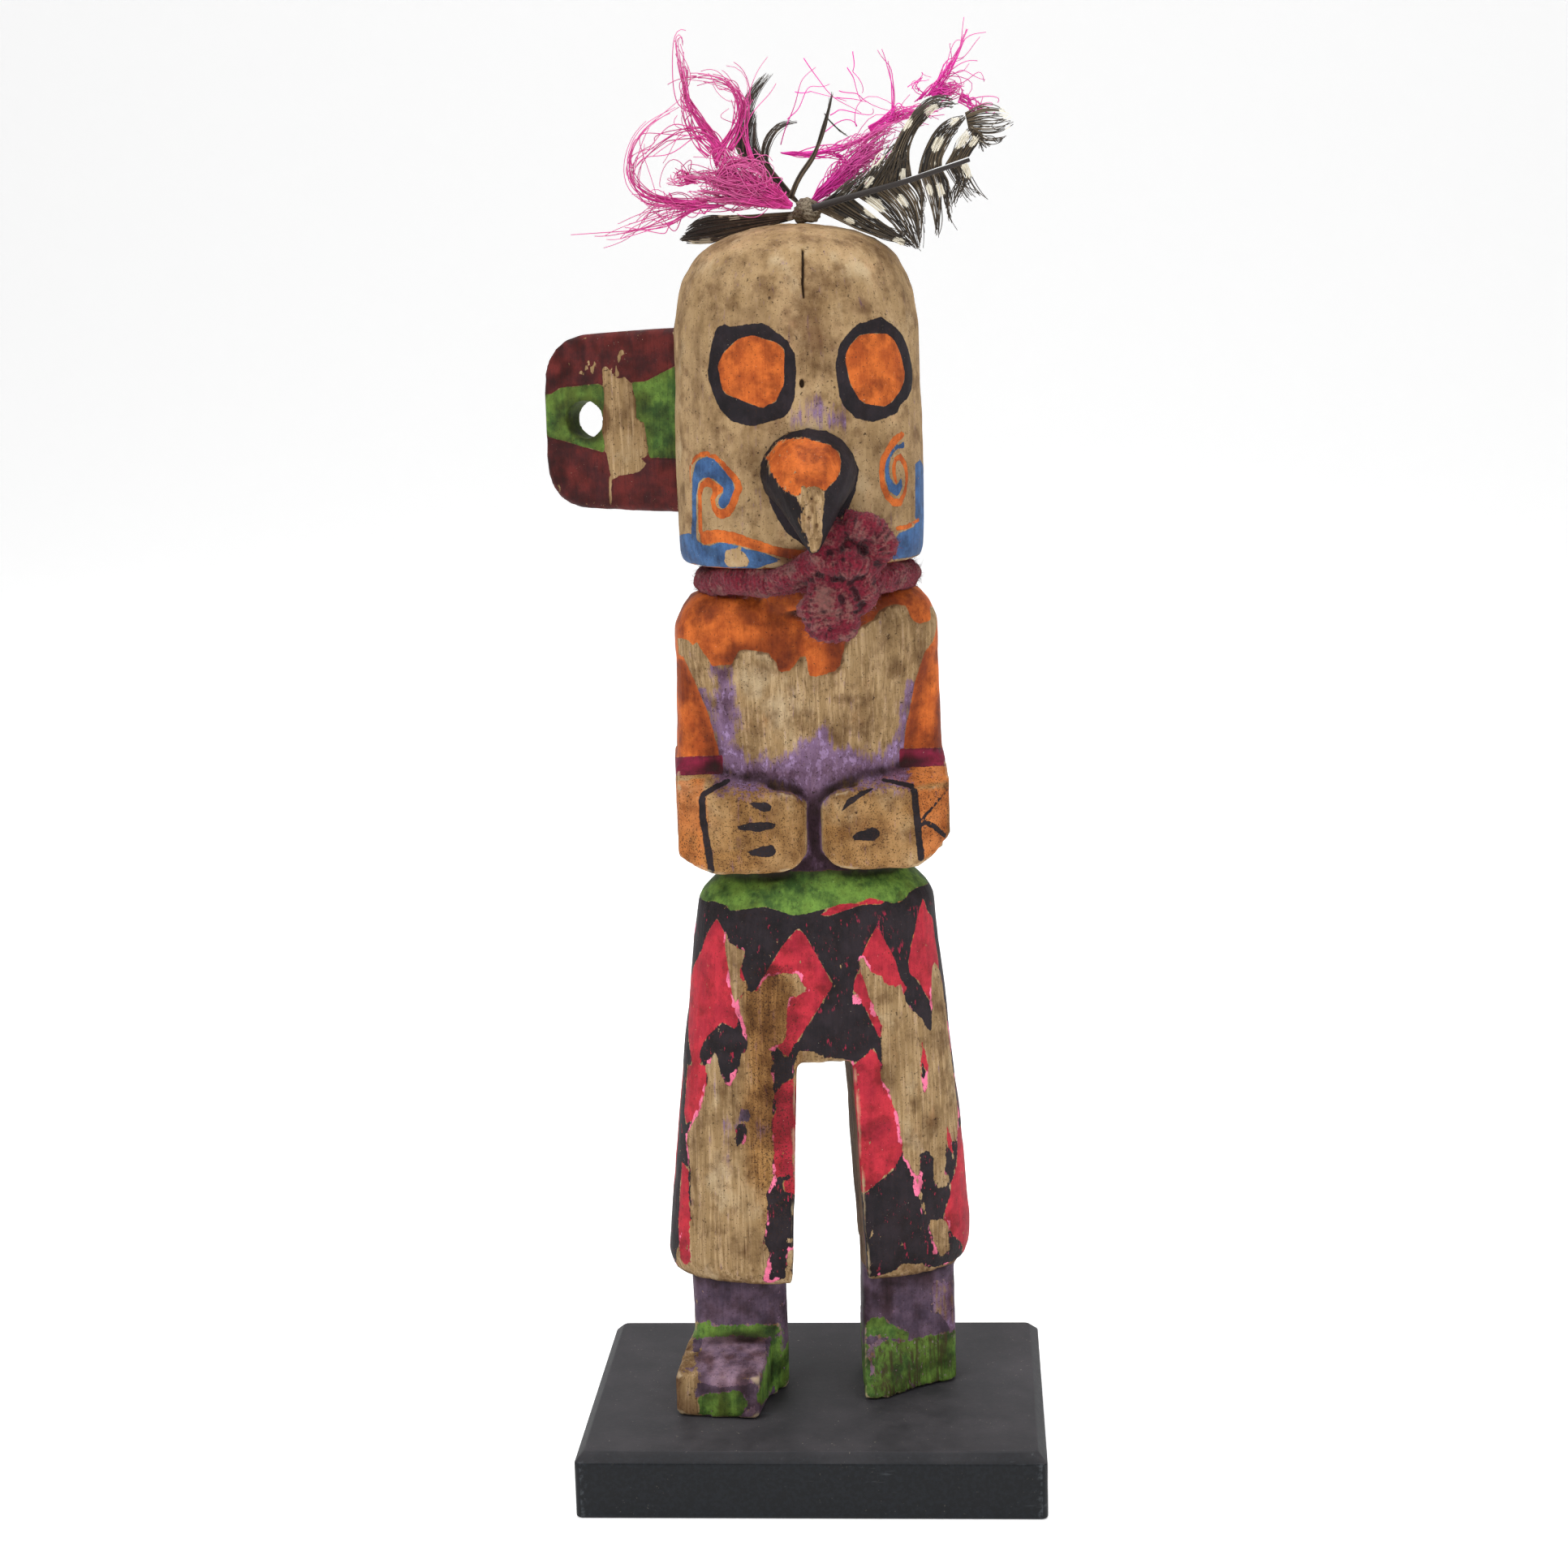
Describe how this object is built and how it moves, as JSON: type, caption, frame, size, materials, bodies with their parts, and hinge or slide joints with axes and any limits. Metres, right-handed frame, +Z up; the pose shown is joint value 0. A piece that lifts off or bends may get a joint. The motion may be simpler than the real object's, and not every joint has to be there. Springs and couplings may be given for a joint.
{
  "type": "kachina doll",
  "caption": "Carved and painted standing wooden doll with a masked head, beak, pierced ear plate, tied neck cord and feather topknot, on a bevelled plinth.",
  "frame": {"origin": "middle of the plinth's underside, on the surface it stands on", "axes": "+X along the plinth to the viewer's right, +Y to the back, +Z up; the doll faces -Y, turned a little towards +X"},
  "size_m": [0.1058, 0.0762, 0.3143],
  "materials": {
    "plinth_paint": "black paint, satin",
    "painted_wood": "worn matte paint over bare weathered wood",
    "beak_paint": "worn matte black and orange paint",
    "ear_paint": "worn matte maroon and green paint",
    "yarn": "faded red wound yarn",
    "tie_thread": "grey-brown thread and thong",
    "spotted_feather": "dark brown feather with pale spots",
    "pink_plume": "magenta dyed feather strands",
    "dark_feather": "dark brown feather"
  },
  "bodies": {
    "root": {"plinth": "plinth_paint", "doll": "painted_wood", "beak": "beak_paint", "ear": "ear_paint", "neck_cord": "yarn", "topknot_tie": "tie_thread", "guinea_feather_right": "spotted_feather", "guinea_feather_left": "spotted_feather", "pink_plume_left": "pink_plume", "pink_plume_right": "pink_plume", "dark_hackle_left": "dark_feather", "dark_hackle_mid": "dark_feather"}
  },
  "joints": []
}
